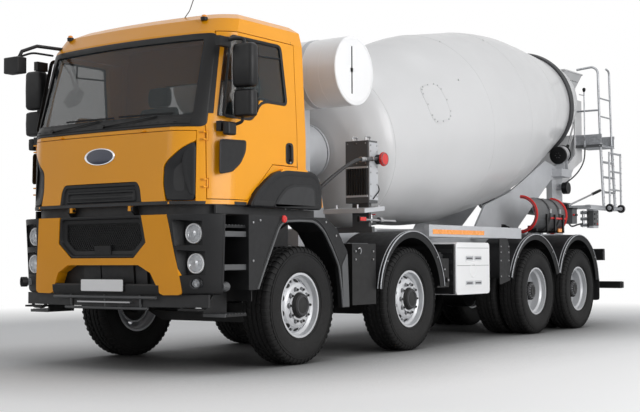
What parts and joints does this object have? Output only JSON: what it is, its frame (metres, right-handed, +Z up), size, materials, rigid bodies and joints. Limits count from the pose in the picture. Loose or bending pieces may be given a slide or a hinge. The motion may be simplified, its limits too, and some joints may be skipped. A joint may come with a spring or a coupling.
{
  "type": "concrete mixer truck",
  "caption": "Forward-control truck with a tilted concrete mixer drum, steered front axles, twin-tyred driven rear axles, hoppers, swinging chute and rear ladder.",
  "frame": {"origin": "on the ground, under the middle of the truck's bounding box", "axes": "+X to the truck's left, +Y to its rear, +Z up"},
  "size_m": [2.81, 10.035, 3.9592],
  "materials": {
    "cab_paint": "gloss",
    "cab_trim": "grained",
    "chassis_black": "satin",
    "drum_paint": "gloss",
    "silver_paint": "satin",
    "white_paint": "gloss",
    "dark_grey_paint": "satin",
    "cast_iron": "machined",
    "roller_steel": "worn",
    "wheel_silver": "satin",
    "tyre": "rubber",
    "glass": "clear",
    "lamp_glass": "clear",
    "seat_fabric": "woven",
    "galvanised": "galvanised",
    "hose_rubber": "matt"
  },
  "bodies": {
    "chassis": {"frame": "chassis_black", "front_axles": "chassis_black", "rear_axles": "chassis_black", "engine": "cast_iron", "bumper": "cab_trim", "lamps": "lamp_glass", "front_fenders": "cab_trim", "rear_fenders": "cab_trim", "side_tank": "white_paint", "side_boxes": "chassis_black", "subframe": "silver_paint", "drum_gearbox": "silver_paint", "water_tank": "white_paint", "oil_cooler": "dark_grey_paint", "rear_pedestal": "silver_paint", "hoppers": "drum_paint", "extension_chute": "dark_grey_paint", "rear_platform": "galvanised", "ladder": "silver_paint", "underrun": "chassis_black", "cooler_hose": "hose_rubber", "control_cable": "hose_rubber"},
    "cab": {"cab_shell": "cab_paint", "cab_glass": "glass", "seats": "seat_fabric", "dashboard": "cab_trim"},
    "left_door": {"door_left": "cab_paint", "door_glass_left": "glass", "mirror_left": "cab_trim"},
    "right_door": {"door_right": "cab_paint", "door_glass_right": "glass", "mirror_right": "cab_trim"},
    "front_flap": {"front_flap": "cab_paint"},
    "steering_wheel": {"steering_wheel": "cab_trim"},
    "drum": {"drum": "drum_paint"},
    "roller_left": {"roller_left": "roller_steel"},
    "roller_right": {"roller_right": "roller_steel"},
    "chute_swivel": {"chute_swivel": "silver_paint"},
    "main_chute": {"main_chute": "dark_grey_paint"},
    "lower_ladder": {"lower_ladder": "silver_paint"},
    "wheel_1_left": {"rim_1_left": "wheel_silver", "tyre_1_left": "tyre"},
    "knuckle_1_left": {"knuckle_1_left": "chassis_black"},
    "wheel_1_right": {"rim_1_right": "wheel_silver", "tyre_1_right": "tyre"},
    "knuckle_1_right": {"knuckle_1_right": "chassis_black"},
    "wheel_2_left": {"rim_2_left": "wheel_silver", "tyre_2_left": "tyre"},
    "knuckle_2_left": {"knuckle_2_left": "chassis_black"},
    "wheel_2_right": {"rim_2_right": "wheel_silver", "tyre_2_right": "tyre"},
    "knuckle_2_right": {"knuckle_2_right": "chassis_black"},
    "wheel_3_left": {"rim_3_left": "wheel_silver", "tyre_3_left": "tyre"},
    "wheel_3_right": {"rim_3_right": "wheel_silver", "tyre_3_right": "tyre"},
    "wheel_4_left": {"rim_4_left": "wheel_silver", "tyre_4_left": "tyre"},
    "wheel_4_right": {"rim_4_right": "wheel_silver", "tyre_4_right": "tyre"}
  },
  "joints": [
    {"name": "cab_tilt", "type": "hinge", "parent": "chassis", "child": "cab", "pos_m": [0, -4.84, 1.4], "axis": [1, 0, 0], "range_deg": [0, 50]},
    {"name": "left_door_hinge", "type": "hinge", "parent": "cab", "child": "left_door", "pos_m": [1.045, -4.64, 2], "axis": [0, 0, -1], "range_deg": [0, 70]},
    {"name": "right_door_hinge", "type": "hinge", "parent": "cab", "child": "right_door", "pos_m": [-1.045, -4.64, 2], "axis": [0, 0, 1], "range_deg": [0, 70]},
    {"name": "front_flap_hinge", "type": "hinge", "parent": "cab", "child": "front_flap", "pos_m": [0, -4.8515, 2.06], "axis": [-1, 0, 0], "range_deg": [0, 75]},
    {"name": "steering_wheel_turn", "type": "hinge", "parent": "cab", "child": "steering_wheel", "pos_m": [0.56, -4.14, 2.11], "axis": [0, 0.6428, 0.766], "range_deg": [-640, 640]},
    {"name": "drum_spin", "type": "hinge", "parent": "chassis", "child": "drum", "pos_m": [0, -3.44, 1.812], "axis": [0, 0.9823, 0.1874], "continuous": true},
    {"name": "roller_left_spin", "type": "hinge", "parent": "chassis", "child": "roller_left", "pos_m": [0.51926, 3.8893, 2.45519], "axis": [0, 0.9823, 0.1874], "continuous": true},
    {"name": "roller_right_spin", "type": "hinge", "parent": "chassis", "child": "roller_right", "pos_m": [-0.51926, 3.8893, 2.45519], "axis": [0, 0.9823, 0.1874], "continuous": true},
    {"name": "chute_swing", "type": "hinge", "parent": "chassis", "child": "chute_swivel", "pos_m": [0, 4.66, 1.05], "axis": [0, 0, -1], "range_deg": [0, 110]},
    {"name": "chute_tilt", "type": "hinge", "parent": "chute_swivel", "child": "main_chute", "pos_m": [0, 4.66, 1.8], "axis": [0, -1, 0], "range_deg": [0, 40]},
    {"name": "ladder_fold", "type": "hinge", "parent": "chassis", "child": "lower_ladder", "pos_m": [0.998, 4.785, 1.688], "axis": [0, 1, 0], "range_deg": [0, 170]},
    {"name": "steer_1_left", "type": "hinge", "parent": "chassis", "child": "knuckle_1_left", "pos_m": [0.86, -3.44, 0.54], "axis": [0, 0, 1], "range_deg": [-35, 35]},
    {"name": "roll_1_left", "type": "hinge", "parent": "knuckle_1_left", "child": "wheel_1_left", "pos_m": [1.011, -3.44, 0.54], "axis": [1, 0, 0], "continuous": true},
    {"name": "steer_1_right", "type": "hinge", "parent": "chassis", "child": "knuckle_1_right", "pos_m": [-0.86, -3.44, 0.54], "axis": [0, 0, 1], "range_deg": [-35, 35]},
    {"name": "roll_1_right", "type": "hinge", "parent": "knuckle_1_right", "child": "wheel_1_right", "pos_m": [-1.011, -3.44, 0.54], "axis": [1, 0, 0], "continuous": true},
    {"name": "steer_2_left", "type": "hinge", "parent": "chassis", "child": "knuckle_2_left", "pos_m": [0.86, -1.48, 0.54], "axis": [0, 0, 1], "range_deg": [-21, 21]},
    {"name": "roll_2_left", "type": "hinge", "parent": "knuckle_2_left", "child": "wheel_2_left", "pos_m": [1.011, -1.48, 0.54], "axis": [1, 0, 0], "continuous": true},
    {"name": "steer_2_right", "type": "hinge", "parent": "chassis", "child": "knuckle_2_right", "pos_m": [-0.86, -1.48, 0.54], "axis": [0, 0, 1], "range_deg": [-21, 21]},
    {"name": "roll_2_right", "type": "hinge", "parent": "knuckle_2_right", "child": "wheel_2_right", "pos_m": [-1.011, -1.48, 0.54], "axis": [1, 0, 0], "continuous": true},
    {"name": "roll_3_left", "type": "hinge", "parent": "chassis", "child": "wheel_3_left", "pos_m": [0.977, 1.73, 0.54], "axis": [1, 0, 0], "continuous": true},
    {"name": "roll_3_right", "type": "hinge", "parent": "chassis", "child": "wheel_3_right", "pos_m": [-0.977, 1.73, 0.54], "axis": [1, 0, 0], "continuous": true},
    {"name": "roll_4_left", "type": "hinge", "parent": "chassis", "child": "wheel_4_left", "pos_m": [0.977, 3.08, 0.54], "axis": [1, 0, 0], "continuous": true},
    {"name": "roll_4_right", "type": "hinge", "parent": "chassis", "child": "wheel_4_right", "pos_m": [-0.977, 3.08, 0.54], "axis": [1, 0, 0], "continuous": true}
  ],
  "couplings": [
    {"joint": "roller_left_spin", "follows": "drum_spin", "ratio": -6.24},
    {"joint": "roller_right_spin", "follows": "drum_spin", "ratio": -6.24},
    {"joint": "steer_1_right", "follows": "steer_1_left", "ratio": 1},
    {"joint": "steer_2_left", "follows": "steer_1_left", "ratio": 0.6},
    {"joint": "steer_2_right", "follows": "steer_1_left", "ratio": 0.6},
    {"joint": "steering_wheel_turn", "follows": "steer_1_left", "ratio": 18}
  ]
}
